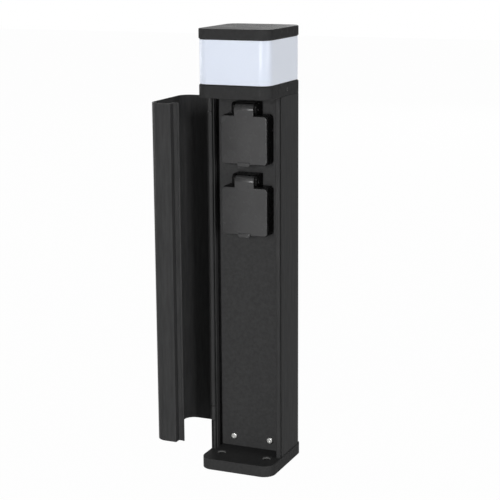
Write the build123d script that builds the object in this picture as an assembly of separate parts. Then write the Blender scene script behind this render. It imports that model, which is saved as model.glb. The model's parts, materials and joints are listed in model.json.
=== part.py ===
from build123d import *
import math
import os

os.makedirs("parts", exist_ok=True)

# Millimetres. X to the right, Y to the back, Z up. The origin is the centre of the foot's underside.
# The post is shown with its door swung open by a right angle to the left.

# Post: overall plan and heights
POST_WIDTH = 80.0
POST_DEPTH = 90.0
POST_CORNER = 12.0
FOOT_THICKNESS = 12.0
COLUMN_HEIGHT = 382.0
COLLAR_HEIGHT = 13.0
DIFFUSER_HEIGHT = 46.0
CAP_HEIGHT = 10.0

# Shared working values
CUT_OVERRUN = 1.0
SEAT_GAP = 0.02
RUNNING_GAP = 0.06
FREE_GAP = 0.3

# Foot casting
FOOT_MARGIN = 1.0
FOOT_EDGE = 0.8
ANCHOR_RADIUS = 3.5
ANCHOR_SINK = 1.7
ANCHOR_SPACING_X = 52.0
ANCHOR_SPACING_Y = 46.0
ANCHOR_FRONT_Y = -21.5
FOOT_POCKET_DEPTH = 6.0

# Column extrusion
COLUMN_WALL = 2.2
SKIN_FRONT_Y = -12.9
RAIL_WIDTH = 4.9
RAIL_FLANGE = 1.9
BEAD_NOSE_Y = -17.3
BEAD_INSET = 0.4
BEAD_ROUND = 1.3
BEAD_GROOVE = 2.0
BEAD_NECK = 2.3
PANEL_LEDGE = 4.0
PANEL_LEDGE_THICKNESS = 2.4
PORT_BORE = 2.0
PORT_WALL = 1.8
PORT_WEB = 2.0
PORT_INSET = 8.6
PORT_FRONT_INSET = 7.2
PORT_FRONT_BACKSET = 12.4
MOUNT_RAIL_HALF = 19.0
MOUNT_RAIL_WALL = 1.6
MOUNT_RAIL_LIP = 3.0
MOUNT_RAIL_SLOT = 2.0

# Hinge
HINGE_INSET = 1.6
HINGE_Y = -14.0
BARREL_RADIUS = 2.4
PIN_RADIUS = 1.2
KNUCKLE_LENGTH = 16.0
KNUCKLE_GAP = 0.4
TAIL_WIDTH = 1.4
TAIL_DEPTH = 3.6
TAIL_SHIFT = 0.4
HINGE_BLOCK_DEPTH = 6.0
LOWER_PORT_SLOT = 1.4
PIN_REACH = 14.0

# Door extrusion
DOOR_WALL = 1.5
DOOR_FOOT_GAP = 32.0
DOOR_COLLAR_GAP = 0.8
DOOR_SKIN_END_Y = -20.5
DOOR_REBATE = 6.8
DOOR_LIP_END_Y = -14.5
DOOR_BULB_RADIUS = 1.1
DOOR_OPEN_ANGLE = 90.0

# Front panel, its bracket and screws
PANEL_FRONT_Y = 2.0
PANEL_THICKNESS = 2.0
PANEL_SCREW_X = 20.8
PANEL_SCREW_RISE = 11.2
BRACKET_THICKNESS = 1.5
BRACKET_WIDTH = 52.0
BRACKET_HEIGHT = 68.0
BRACKET_FOOT = 9.0
BRACKET_SCREW_X = 15.0

# Pan-head screws: shank radius, head radius, head height, length under the head
M4_SHANK = 1.95
M4_HEAD = 3.5
M4_HEAD_HEIGHT = 2.6
M4_LENGTH = 9.0
M3_SHANK = 1.45
M3_HEAD = 2.7
M3_HEAD_HEIGHT = 1.9
M3_LENGTH = 10.0
PORT_SCREW_LENGTH = 24.0
DRIVE_SHARE = 0.45
DRIVE_DEPTH_SHARE = 0.55

# Sockets: flange, can and cup
SOCKET_TOP_DROP = 45.0
SOCKET_PITCH = 74.0
SOCKET_WIDTH = 51.0
SOCKET_HEIGHT = 51.5
SOCKET_CORNER = 4.0
SOCKET_FRONT_Y = -12.5
SOCKET_WALL = 2.0
GASKET_THICKNESS = 0.8
GASKET_INSET = 1.0
CUP_RADIUS = 19.6
CUP_DEPTH = 17.5
CUP_FLOOR = 2.5
CAN_WALL = 1.8
CAN_DEPTH = 26.0
CAN_CLEARANCE = 0.5
KEY_WIDTH = 4.8
KEY_DEPTH = 2.2
FIXING_PITCH = 38.0
FIXING_PILLAR = 4.3
PIN_HOLE_RADIUS = 2.7
PIN_HOLE_PITCH = 19.0
EARTH_SLOT_WIDTH = 5.4

# Hinge tower on top of each socket flange
TOWER_HALF = 13.7
TOWER_TOP = 38.6
TOWER_AXIS_UP = 31.0
TOWER_AXIS_Y = -10.0
TOWER_EAR_FRONT = 5.3
TOWER_EAR_ROUND = 4.8
TOWER_HOOD = 1.2
TOWER_BACK_WALL = 4.0
TOWER_HOOD_FRONT_Y = -9.6

# Flap over each cup
FLAP_WIDTH = 50.4
FLAP_HEIGHT = 49.6
FLAP_CORNER = 3.5
FLAP_FRONT_Y = -16.0
FLAP_WALL = 1.7
FLAP_EDGE = 0.7
NECK_HALF = 10.5
NECK_CHEEK = 1.6
NECK_CHEEK_RADIUS = 4.6
NECK_ROLL_ANGLE = 120.0
THUMB_WIDTH = 14.0
THUMB_TAPER = 1.6
THUMB_DROP = 2.3
THUMB_FORWARD = 1.3
SEAL_RADIUS = 22.6
SEAL_WIDTH = 1.6

# Contacts, carrier and shutter behind each cup
CARRIER_LENGTH = 13.6
CARRIER_CLEARANCE = 0.2
SHUTTER_THICKNESS = 2.0
SHUTTER_RADIUS = 15.5
SHUTTER_BOSS = 3.0
SHUTTER_TURN = 32.0
CONTACT_RADIUS = 3.3
CONTACT_BORE = 2.4
CONTACT_LENGTH = 11.0
CLIP_WIDTH = 4.4
CLIP_THICKNESS = 0.8
CLIP_REACH = 1.2

# Coil springs
FLAP_WIRE = 0.35
FLAP_COIL_RADIUS = 2.6
FLAP_COIL_TURNS = 5
FLAP_COIL_LENGTH = 9.0
SHUTTER_WIRE = 0.3
SHUTTER_COIL_RADIUS = 4.7
SHUTTER_COIL_TURNS = 3
SHUTTER_COIL_LENGTH = 3.3
SPRING_POCKET = 4.2
SPRING_POCKET_RADIUS = 6.2

# Cable gland in the foot
GLAND_WALL_GAP = 3.3
GLAND_THREAD = 9.8
GLAND_BORE = 5.5
GLAND_HEX = 24.0
GLAND_HEX_HEIGHT = 5.0
GLAND_NECK_HEIGHT = 9.0
GLAND_DOME_HEIGHT = 12.0
GLAND_DOME_OVERLAP = 7.0
GLAND_SEAL_HEIGHT = 6.0
GLAND_SEAL_WALL = 2.6
GLAND_NECK_WALL = 1.8
LOCKNUT_HEX = 26.0
LOCKNUT_HEIGHT = 4.5

# Wiring pieces in the column
TERMINAL_BLOCK_WIDTH = 36.0
TERMINAL_BLOCK_HEIGHT = 20.0
TERMINAL_BLOCK_DEPTH = 16.0
TERMINAL_BLOCK_DROP = 8.0
TERMINAL_BLOCK_POLES = 3
TERMINAL_WAY = 3.0
DRIVER_DEPTH = 20.0
DRIVER_HEIGHT = 70.0
DRIVER_BOTTOM_Z = 105.0
DRIVER_BASE = 1.6
DRIVER_CORNER = 2.5

# Lamp head
HEAD_WALL = 3.0
HEAD_EDGE = 0.8
COLLAR_DECK = 4.0
COLLAR_FRONT_FLOOR = 3.0
COLLAR_DIVIDER_Y = -15.0
PANEL_HOOK_DROP = 3.4
PANEL_HOOK_THICKNESS = 1.6
ADAPTER_THICKNESS = 3.0
ADAPTER_CLEARANCE = 0.4
ADAPTER_PAD = 5.6
ADAPTER_PAD_WIDTH = 10.0
GRUB_Y = 5.5
GRUB_RISE = 6.4
GRUB_RADIUS = 1.9
GRUB_LENGTH = 6.0
DIFFUSER_INSET = 0.8
DIFFUSER_WALL = 3.0
SPIGOT_HEIGHT = 3.0
SPIGOT_WALL = 2.0
CAP_PLATE = 3.5
CAP_RIB = 2.0
WIRE_HOLE = 6.0
CORE_SIZE = 26.0
CORE_WALL = 2.5
CORE_CORNER = 2.0
TIE_OFFSET = 7.5
TIE_BOSS = 4.2
TIE_BITE = 3.5
BOARD_WIDTH = 20.0
BOARD_THICKNESS = 1.6
BOARD_MARGIN = 4.0
LED_WIDTH = 3.4
LED_HEIGHT = 2.8
LED_THICKNESS = 0.8
LED_ROWS = 5

# Levels and faces that follow
column_z = FOOT_THICKNESS
column_top = column_z + COLUMN_HEIGHT
collar_top = column_top + COLLAR_HEIGHT
cap_z = collar_top + DIFFUSER_HEIGHT
post_top = cap_z + CAP_HEIGHT
half_width = POST_WIDTH / 2
half_depth = POST_DEPTH / 2
inner_half = half_width - COLUMN_WALL
rear_inner_y = half_depth - COLUMN_WALL
door_z = column_z + DOOR_FOOT_GAP
door_top = column_top - DOOR_COLLAR_GAP
door_height = door_top - door_z
hinge_x = HINGE_INSET - half_width
panel_back_y = PANEL_FRONT_Y + PANEL_THICKNESS
flange_back_y = PANEL_FRONT_Y - GASKET_THICKNESS
cup_floor_y = SOCKET_FRONT_Y + CUP_DEPTH
rotor_y = cup_floor_y + CUP_FLOOR + FREE_GAP
carrier_y = rotor_y + SHUTTER_THICKNESS + FREE_GAP
can_back_y = panel_back_y + CAN_DEPTH
bracket_back_y = panel_back_y + BRACKET_THICKNESS
bracket_screw_y = bracket_back_y + BRACKET_FOOT / 2
can_radius = CUP_RADIUS + CAN_WALL
rear_anchor_y = ANCHOR_FRONT_Y + ANCHOR_SPACING_Y
gland_y = rear_inner_y - GLAND_HEX / 2 - GLAND_WALL_GAP
upper_socket_z = column_top - SOCKET_TOP_DROP
socket_heights = {"lower": upper_socket_z - SOCKET_PITCH, "upper": upper_socket_z}
column_ports = [
    (side * (half_width - inset), y)
    for side in (-1, 1)
    for inset, y in (
        (PORT_INSET, half_depth - PORT_INSET),
        (PORT_FRONT_INSET, panel_back_y + PORT_FRONT_BACKSET),
    )
]


def write(name, shape):
    """Write one node's STEP file."""
    export_step(shape if isinstance(shape, (Solid, Part, Compound)) else Part(shape), f"parts/{name}.step")


def group(solids):
    """Several separate solids of one node."""
    return Compound(children=[s for s in solids])


def block(x0, x1, y0, y1, z0, z1):
    """Plain block between two corners."""
    return Pos((x0 + x1) / 2, (y0 + y1) / 2, (z0 + z1) / 2) * Box(x1 - x0, y1 - y0, z1 - z0)


def plan_block(width, depth, corner, z0, z1, y=0):
    """Upright block with rounded vertical edges, centred in plan."""
    return Pos(0, y, z0) * extrude(RectangleRounded(width, depth, corner), z1 - z0)


def face_plane(x, y, z):
    """Plane that faces the front, at a point."""
    return Plane(origin=(x, y, z), x_dir=(1, 0, 0), z_dir=(0, -1, 0))


def slab(width, height, corner, back, front, x=0, z=0):
    """Rounded plate that faces the front, between two depths."""
    return extrude(face_plane(x, back, z) * RectangleRounded(width, height, corner), back - front)


def post(radius, z0, z1, x=0, y=0):
    """Upright round bar."""
    return Pos(x, y, (z0 + z1) / 2) * Cylinder(radius, z1 - z0)


def bar_y(radius, y0, y1, x=0, z=0):
    """Round bar from front to back."""
    return Pos(x, (y0 + y1) / 2, z) * Rot(90, 0, 0) * Cylinder(radius, y1 - y0)


def bar_x(radius, x0, x1, y, z):
    """Round bar from left to right."""
    return Pos((x0 + x1) / 2, y, z) * Rot(0, 90, 0) * Cylinder(radius, x1 - x0)


def side_prism(sketch, x0, x1):
    """Side-view sketch, drawn in depth and height, run from left to right."""
    return extrude(Plane(origin=(x0, 0, 0), x_dir=(0, 1, 0), z_dir=(1, 0, 0)) * sketch, x1 - x0)


def hexagon(flats, z0, z1, x=0, y=0):
    """Upright hexagonal prism."""
    return Pos(x, y, z0) * extrude(RegularPolygon(flats / 2, 6, major_radius=False), z1 - z0)


def pan_screw(shank, head, head_height, length):
    """Screw along +Z, its head's seat at zero height and its shank below."""
    body = post(head, 0, head_height)
    body = fillet(body.edges().group_by(Axis.Z)[-1], head_height * DRIVE_SHARE)
    body += post(shank, -length, 0)
    drive = Pos(0, 0, head_height * (1 - DRIVE_DEPTH_SHARE)) * extrude(
        RegularPolygon(head * DRIVE_SHARE, 6), head_height
    )
    return body - drive


def m4_screw(length=M4_LENGTH):
    return pan_screw(M4_SHANK, M4_HEAD, M4_HEAD_HEIGHT, length)


def m3_screw(length=M3_LENGTH):
    return pan_screw(M3_SHANK, M3_HEAD, M3_HEAD_HEIGHT, length)


def coil(radius, wire, turns, length):
    """Close coil of round wire along +Z from zero height, as one unbroken tube."""
    pitch = length / turns
    path = Helix(pitch, length, radius)
    start = path @ 0
    profile = Plane(origin=start, z_dir=path % 0) * Circle(wire)
    print("coil gap", round(pitch - 2 * wire, 2))
    return sweep(profile, path)


# Foot: a casting with countersunk anchor holes and a pocket below for the gland's nut
foot_width = POST_WIDTH + 2 * FOOT_MARGIN
foot_depth = POST_DEPTH + 2 * FOOT_MARGIN
foot = plan_block(foot_width, foot_depth, POST_CORNER + FOOT_MARGIN, 0, FOOT_THICKNESS)
foot = fillet(foot.edges().group_by(Axis.Z)[-1], FOOT_EDGE)
anchor_places = [
    (side * ANCHOR_SPACING_X / 2, y) for side in (-1, 1) for y in (ANCHOR_FRONT_Y, rear_anchor_y)
]
for x, y in anchor_places:
    foot -= post(ANCHOR_RADIUS, -CUT_OVERRUN, FOOT_THICKNESS + CUT_OVERRUN, x, y)
    countersink = Cone(ANCHOR_RADIUS, ANCHOR_RADIUS + ANCHOR_SINK, ANCHOR_SINK)
    foot -= Pos(x, y, FOOT_THICKNESS - ANCHOR_SINK / 2) * countersink
for x, y in column_ports:
    foot -= post(M4_SHANK + FREE_GAP, -CUT_OVERRUN, FOOT_THICKNESS + CUT_OVERRUN, x, y)
    foot -= post(M4_HEAD + FREE_GAP, -CUT_OVERRUN, M4_HEAD_HEIGHT + FREE_GAP, x, y)
foot -= post(GLAND_THREAD + SEAT_GAP, -CUT_OVERRUN, FOOT_THICKNESS + CUT_OVERRUN, 0, gland_y)
foot -= post(LOCKNUT_HEX / math.sqrt(3) + CUT_OVERRUN, -CUT_OVERRUN, LOCKNUT_HEIGHT + FREE_GAP, 0, gland_y)
for side in (-1, 1):
    x = side * BRACKET_SCREW_X
    foot -= post(M3_SHANK + SEAT_GAP, FOOT_POCKET_DEPTH, FOOT_THICKNESS + CUT_OVERRUN, x, bracket_screw_y)
write("foot_plate", foot)

foot_screws = [
    Pos(x, y, M4_HEAD_HEIGHT + FREE_GAP) * Rot(180, 0, 0) * m4_screw(PORT_SCREW_LENGTH)
    for x, y in column_ports
]
write("foot_screws", group(foot_screws))

# Column: one extrusion with a bead rail on the right, a hinge rail on the left and screw ports inside
outline = RectangleRounded(POST_WIDTH, POST_DEPTH, POST_CORNER)
hollow = RectangleRounded(2 * inner_half, 2 * rear_inner_y, POST_CORNER - COLUMN_WALL)


def plan_rect(x0, x1, y0, y1):
    """Plan rectangle between two corners."""
    return Pos((x0 + x1) / 2, (y0 + y1) / 2) * Rectangle(x1 - x0, y1 - y0)


rail_back_y = SKIN_FRONT_Y + RAIL_FLANGE
hinge_block_y = HINGE_Y + BARREL_RADIUS + KNUCKLE_GAP
walls = outline - hollow
walls -= plan_rect(-POST_WIDTH, POST_WIDTH, -POST_DEPTH, SKIN_FRONT_Y)
walls -= plan_rect(-POST_WIDTH, 0, -POST_DEPTH, hinge_block_y)
bead_x0 = half_width - RAIL_WIDTH
bead_x1 = half_width - BEAD_INSET
bead_back_y = SKIN_FRONT_Y - BEAD_GROOVE
bead = plan_rect(bead_x0, bead_x1, BEAD_NOSE_Y, bead_back_y)
bead = fillet(bead.vertices().group_by(Axis.Y)[0], BEAD_ROUND)
neck = plan_rect(bead_x0, bead_x0 + BEAD_NECK, bead_back_y - BEAD_ROUND, SKIN_FRONT_Y + RAIL_FLANGE)
rail = plan_rect(bead_x0, half_width, SKIN_FRONT_Y, rail_back_y)
hinge_block = plan_rect(-half_width, -bead_x0, hinge_block_y, hinge_block_y + HINGE_BLOCK_DEPTH)
tail_x = hinge_x + TAIL_SHIFT
tail_end_y = hinge_block_y + TAIL_DEPTH
tail_half = TAIL_WIDTH / 2 + SEAT_GAP
tail_slot_y = (hinge_block_y - CUT_OVERRUN, tail_end_y + FREE_GAP)
tail_slot = plan_rect(tail_x - tail_half, tail_x + tail_half, *tail_slot_y)
column_plan = walls + bead + neck + rail + hinge_block - tail_slot
for side in (-1, 1):
    ledge_x = sorted((side * (inner_half - PANEL_LEDGE), side * (inner_half + COLUMN_WALL / 2)))
    column_plan += plan_rect(*ledge_x, panel_back_y, panel_back_y + PANEL_LEDGE_THICKNESS)
for x, y in column_ports:
    column_plan += Pos(x, y) * Circle(PORT_BORE + PORT_WALL)
    web_x = sorted((x, math.copysign(inner_half + COLUMN_WALL / 2, x)))
    column_plan += plan_rect(*web_x, y - PORT_WEB / 2, y + PORT_WEB / 2)
for x, y in column_ports:
    column_plan -= Pos(x, y) * Circle(PORT_BORE)
slot_y0 = rear_inner_y - MOUNT_RAIL_SLOT
for side in (-1, 1):
    upright = sorted((side * MOUNT_RAIL_HALF, side * (MOUNT_RAIL_HALF + MOUNT_RAIL_WALL)))
    lip = sorted((side * (MOUNT_RAIL_HALF - MOUNT_RAIL_LIP), side * (MOUNT_RAIL_HALF + MOUNT_RAIL_WALL)))
    column_plan += plan_rect(*upright, slot_y0 - MOUNT_RAIL_WALL, rear_inner_y + COLUMN_WALL / 2)
    column_plan += plan_rect(*lip, slot_y0 - MOUNT_RAIL_WALL, slot_y0)
column = Pos(0, 0, column_z) * extrude(column_plan, COLUMN_HEIGHT)

# The hinge rail's open pin port is milled away above the door's lower edge
port_plan = Pos(hinge_x, HINGE_Y) * Circle(BARREL_RADIUS)
port_half = BARREL_RADIUS / 2
port_plan += plan_rect(tail_x - port_half, tail_x + port_half, HINGE_Y, hinge_block_y + CUT_OVERRUN)
port_plan -= Pos(hinge_x, HINGE_Y) * Circle(PIN_RADIUS + SEAT_GAP)
slot_half = LOWER_PORT_SLOT / 2
slot_front_y = HINGE_Y - BARREL_RADIUS - CUT_OVERRUN
port_plan -= plan_rect(hinge_x - slot_half, hinge_x + slot_half, slot_front_y, HINGE_Y)
port_plan -= tail_slot & plan_rect(-POST_WIDTH, 0, hinge_block_y, hinge_block_y + POST_DEPTH)
column += Pos(0, 0, column_z) * extrude(port_plan, DOOR_FOOT_GAP - KNUCKLE_GAP)
write("column_profile", column)

# Hinge: two fixed knuckles whose tails slide into the column's slot, and their pins
knuckle_spans = {
    "lower": (door_z, door_z + KNUCKLE_LENGTH),
    "upper": (door_top - KNUCKLE_LENGTH, door_top),
}
knuckle_plan = Pos(hinge_x, HINGE_Y) * Circle(BARREL_RADIUS)
knuckle_plan += plan_rect(tail_x - TAIL_WIDTH / 2, tail_x + TAIL_WIDTH / 2, HINGE_Y, tail_end_y)
knuckle_plan -= Pos(hinge_x, HINGE_Y) * Circle(PIN_RADIUS + SEAT_GAP)
for name, (z0, z1) in knuckle_spans.items():
    write(f"{name}_hinge_knuckle", Pos(0, 0, z0) * extrude(knuckle_plan, z1 - z0))
lower_pin_end = knuckle_spans["lower"][1] + PIN_REACH
upper_pin_end = knuckle_spans["upper"][0] - PIN_REACH
pin_socket_top = column_top + COLLAR_FRONT_FLOOR
write("lower_hinge_pin", post(PIN_RADIUS, column_z, lower_pin_end, hinge_x, HINGE_Y))
write("upper_hinge_pin", post(PIN_RADIUS, upper_pin_end, pin_socket_top, hinge_x, HINGE_Y))

# Door: a C-shaped extrusion with the hinge barrel on its left edge and a rebate on its right edge
door_shell = outline - offset(outline, -DOOR_WALL)
door_plan = door_shell & plan_rect(0, POST_WIDTH, -POST_DEPTH, DOOR_SKIN_END_Y)
door_plan += door_shell & plan_rect(-POST_WIDTH, 0, -POST_DEPTH, HINGE_Y)
lip_x = half_width - DOOR_REBATE
rebate_front_y = DOOR_SKIN_END_Y - DOOR_WALL
door_plan += plan_rect(lip_x - DOOR_WALL, half_width, rebate_front_y, DOOR_SKIN_END_Y)
door_plan += plan_rect(lip_x - DOOR_WALL, lip_x, rebate_front_y, DOOR_LIP_END_Y - DOOR_BULB_RADIUS)
bulb_place = Pos(lip_x - DOOR_WALL + DOOR_BULB_RADIUS, DOOR_LIP_END_Y - DOOR_BULB_RADIUS)
door_plan += bulb_place * Circle(DOOR_BULB_RADIUS)
door_plan += Pos(hinge_x, HINGE_Y) * Circle(BARREL_RADIUS)
door_plan -= Pos(hinge_x, HINGE_Y) * Circle(PIN_RADIUS + RUNNING_GAP)
door = Pos(0, 0, door_z) * extrude(door_plan, door_height)
notch_front_y = HINGE_Y - BARREL_RADIUS - KNUCKLE_GAP
notch_reach = BARREL_RADIUS + KNUCKLE_GAP
notch_x = (hinge_x - notch_reach, hinge_x + notch_reach)
for z0, z1 in knuckle_spans.values():
    door -= block(*notch_x, notch_front_y, HINGE_Y + notch_reach, z0 - KNUCKLE_GAP, z1 + KNUCKLE_GAP)
hinge_axis = Axis((hinge_x, HINGE_Y, 0), (0, 0, 1))
door = door.rotate(hinge_axis, -DOOR_OPEN_ANGLE)
write("door_profile", door)

# Front panel: a plate that closes the wiring space and carries both sockets
panel_half = inner_half - FREE_GAP
panel_low = column_z + FREE_GAP
panel_high = column_top - FREE_GAP
panel_screw_z = column_z + PANEL_SCREW_RISE
panel = block(-panel_half, panel_half, PANEL_FRONT_Y, panel_back_y, panel_low, panel_high)
fixing_places = [
    (side * FIXING_PITCH / 2, z + up * FIXING_PITCH / 2)
    for z in socket_heights.values()
    for side in (-1, 1)
    for up in (-1, 1)
]
panel_cut = (PANEL_FRONT_Y - CUT_OVERRUN, panel_back_y + CUT_OVERRUN)
for z in socket_heights.values():
    panel -= bar_y(can_radius + CAN_CLEARANCE, *panel_cut, 0, z)
for x, z in fixing_places:
    panel -= bar_y(M3_SHANK + SEAT_GAP, *panel_cut, x, z)
for side in (-1, 1):
    panel -= bar_y(M4_SHANK + FREE_GAP, *panel_cut, side * PANEL_SCREW_X, panel_screw_z)
write("front_panel", panel)

# Angle bracket behind the panel: takes the panel screws and carries the terminal block
bracket_outline = Polyline(
    (panel_back_y + BRACKET_THICKNESS / 2, column_z + BRACKET_HEIGHT),
    (panel_back_y + BRACKET_THICKNESS / 2, column_z + BRACKET_THICKNESS / 2),
    (bracket_back_y + BRACKET_FOOT, column_z + BRACKET_THICKNESS / 2),
)
bracket = side_prism(trace(bracket_outline, BRACKET_THICKNESS), -BRACKET_WIDTH / 2, BRACKET_WIDTH / 2)
nut_back_y = bracket_back_y + BRACKET_THICKNESS
nut_cut = (panel_back_y - CUT_OVERRUN, nut_back_y + CUT_OVERRUN)
bracket_cut = (column_z - CUT_OVERRUN, column_z + BRACKET_THICKNESS + CUT_OVERRUN)
for side in (-1, 1):
    x = side * PANEL_SCREW_X
    bracket += bar_y(M4_SHANK + BRACKET_THICKNESS, bracket_back_y, nut_back_y, x, panel_screw_z)
    bracket -= bar_y(M4_SHANK + SEAT_GAP, *nut_cut, x, panel_screw_z)
    bracket -= post(M3_SHANK + FREE_GAP, *bracket_cut, side * BRACKET_SCREW_X, bracket_screw_y)
block_z1 = column_z + BRACKET_HEIGHT - TERMINAL_BLOCK_DROP
block_z0 = block_z1 - TERMINAL_BLOCK_HEIGHT
block_screw_z = (block_z0 + block_z1) / 2
block_screw_x = TERMINAL_BLOCK_WIDTH / 2 - M3_HEAD - TERMINAL_WAY / 2
for side in (-1, 1):
    x = side * block_screw_x
    bracket -= bar_y(M3_SHANK + SEAT_GAP, *nut_cut, x, block_screw_z)
bracket -= post(GLAND_HEX / math.sqrt(3) + FREE_GAP, *bracket_cut, 0, gland_y)
write("wiring_bracket", bracket)

faces_front = Rot(90, 0, 0)
faces_back = Rot(-90, 0, 0)
write("panel_screws", group(
    [Pos(side * PANEL_SCREW_X, PANEL_FRONT_Y, panel_screw_z) * faces_front * m4_screw() for side in (-1, 1)]
))
bracket_screws = [
    Pos(side * BRACKET_SCREW_X, bracket_screw_y, column_z + BRACKET_THICKNESS)
    * m3_screw(FOOT_THICKNESS + BRACKET_THICKNESS - FOOT_POCKET_DEPTH - FREE_GAP)
    for side in (-1, 1)
]
write("bracket_screws", group(bracket_screws))

# Terminal block on the bracket, with a wire way and a clamp screw for each pole
pole_pitch = (TERMINAL_BLOCK_WIDTH - 4 * M3_HEAD - TERMINAL_WAY) / TERMINAL_BLOCK_POLES
block_back_y = bracket_back_y + TERMINAL_BLOCK_DEPTH
block_floor_y = block_back_y - M3_HEAD_HEIGHT - TERMINAL_WAY
block_mid_y = bracket_back_y + TERMINAL_BLOCK_DEPTH / 2
block_half = TERMINAL_BLOCK_WIDTH / 2
terminal_block = block(-block_half, block_half, bracket_back_y, block_floor_y, block_z0, block_z1)
poles = [(i - (TERMINAL_BLOCK_POLES - 1) / 2) * pole_pitch for i in range(TERMINAL_BLOCK_POLES)]
for x in poles:
    half = pole_pitch / 2 - CUT_OVERRUN / 2
    terminal_block += block(x - half, x + half, block_mid_y, block_back_y, block_z0, block_z1)
for x in poles:
    terminal_block -= post(TERMINAL_WAY / 2, block_z0 - CUT_OVERRUN, block_z1 + CUT_OVERRUN, x, block_mid_y)
    terminal_block -= bar_y(M3_SHANK + SEAT_GAP, block_mid_y, block_back_y + CUT_OVERRUN, x, block_screw_z)
base_cut = (bracket_back_y - CUT_OVERRUN, block_floor_y + CUT_OVERRUN)
for side in (-1, 1):
    terminal_block -= bar_y(M3_SHANK + FREE_GAP, *base_cut, side * block_screw_x, block_screw_z)
write("terminal_block", terminal_block)
block_screw_length = block_floor_y - bracket_back_y + BRACKET_THICKNESS
block_screws = [
    Pos(side * block_screw_x, block_floor_y, block_screw_z) * faces_back * m3_screw(block_screw_length)
    for side in (-1, 1)
]
clamp_length = (TERMINAL_BLOCK_DEPTH - TERMINAL_WAY) / 2 - CUT_OVERRUN
block_screws += [Pos(x, block_back_y, block_screw_z) * faces_back * m3_screw(clamp_length) for x in poles]
write("terminal_screws", group(block_screws))

# Gland: body screwed down through the foot, locknut below, sealing ring and dome nut above
gland = post(GLAND_THREAD, FREE_GAP, FOOT_THICKNESS, 0, gland_y)
gland += hexagon(GLAND_HEX, FOOT_THICKNESS, FOOT_THICKNESS + GLAND_HEX_HEIGHT, 0, gland_y)
gland_neck_z = FOOT_THICKNESS + GLAND_HEX_HEIGHT
gland_top_z = gland_neck_z + GLAND_NECK_HEIGHT
gland_seal_radius = GLAND_BORE + GLAND_SEAL_WALL
gland += post(gland_seal_radius + GLAND_NECK_WALL, gland_neck_z, gland_top_z, 0, gland_y)
gland -= post(GLAND_BORE, -CUT_OVERRUN, gland_top_z + CUT_OVERRUN, 0, gland_y)
seal_z = gland_top_z - GLAND_SEAL_HEIGHT
gland -= post(gland_seal_radius + SEAT_GAP, seal_z, gland_top_z + CUT_OVERRUN, 0, gland_y)
write("gland_body", gland)
gland_seal = post(gland_seal_radius, seal_z, gland_top_z, 0, gland_y)
gland_seal -= post(GLAND_BORE, seal_z - CUT_OVERRUN, gland_top_z + CUT_OVERRUN, 0, gland_y)
write("gland_seal", gland_seal)
nut_bore = gland_seal_radius + GLAND_NECK_WALL + SEAT_GAP
dome_z = gland_top_z - GLAND_DOME_OVERLAP
gland_nut = hexagon(GLAND_HEX, dome_z, dome_z + GLAND_DOME_HEIGHT, 0, gland_y)
dome_round = post(GLAND_HEX / 2 + CUT_OVERRUN, dome_z, dome_z + GLAND_DOME_HEIGHT, 0, gland_y)
gland_nut = gland_nut & chamfer(dome_round.edges().group_by(Axis.Z)[-1], GLAND_SEAL_WALL)
gland_nut -= post(nut_bore, dome_z - CUT_OVERRUN, gland_top_z, 0, gland_y)
gland_nut -= post(GLAND_BORE + CUT_OVERRUN, dome_z, dome_z + GLAND_DOME_HEIGHT + CUT_OVERRUN, 0, gland_y)
write("gland_dome_nut", gland_nut)
locknut = hexagon(LOCKNUT_HEX, FREE_GAP, FREE_GAP + LOCKNUT_HEIGHT, 0, gland_y)
locknut -= post(GLAND_THREAD + SEAT_GAP, -CUT_OVERRUN, LOCKNUT_HEIGHT + CUT_OVERRUN, 0, gland_y)
write("gland_locknut", locknut)

# Lamp driver, its base held in the rails on the column's rear wall
driver_y1 = rear_inner_y - MOUNT_RAIL_SLOT + DRIVER_BASE
base_half = MOUNT_RAIL_HALF - FREE_GAP
driver_span = (DRIVER_BOTTOM_Z, DRIVER_BOTTOM_Z + DRIVER_HEIGHT)
driver = block(-base_half, base_half, driver_y1 - DRIVER_BASE + SEAT_GAP, driver_y1, *driver_span)
case_half = MOUNT_RAIL_HALF - MOUNT_RAIL_LIP - FREE_GAP
case_y1 = driver_y1 - DRIVER_BASE + SEAT_GAP
case = block(-case_half, case_half, case_y1 - DRIVER_DEPTH, case_y1, *driver_span)
case = fillet(case.edges().filter_by(Axis.Z).group_by(Axis.Y)[0], DRIVER_CORNER)
write("lamp_driver", driver + case)

# Sockets: each has its housing, gaskets, flap, hinge parts, contacts and shutter
axis_y = TOWER_AXIS_Y
roll_radius = TOWER_AXIS_Y - FLAP_FRONT_Y
flap_back_y = SOCKET_FRONT_Y - FREE_GAP
flap_inner_y = FLAP_FRONT_Y + FLAP_WALL
carrier_back_y = carrier_y + CARRIER_LENGTH
carrier_radius = CUP_RADIUS - CARRIER_CLEARANCE
pillar_places = [(side * FIXING_PITCH / 2, up * FIXING_PITCH / 2) for side in (-1, 1) for up in (-1, 1)]
pin_places = [side * PIN_HOLE_PITCH / 2 for side in (-1, 1)]
clip_radius = CUP_RADIUS - CLIP_THICKNESS - FREE_GAP
fixing_seat_y = SOCKET_FRONT_Y + M3_HEAD_HEIGHT + FREE_GAP


def side_rect(y0, y1, z0, z1):
    """Side-view rectangle, in depth and height."""
    return Pos((y0 + y1) / 2, (z0 + z1) / 2) * Rectangle(y1 - y0, z1 - z0)


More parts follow.
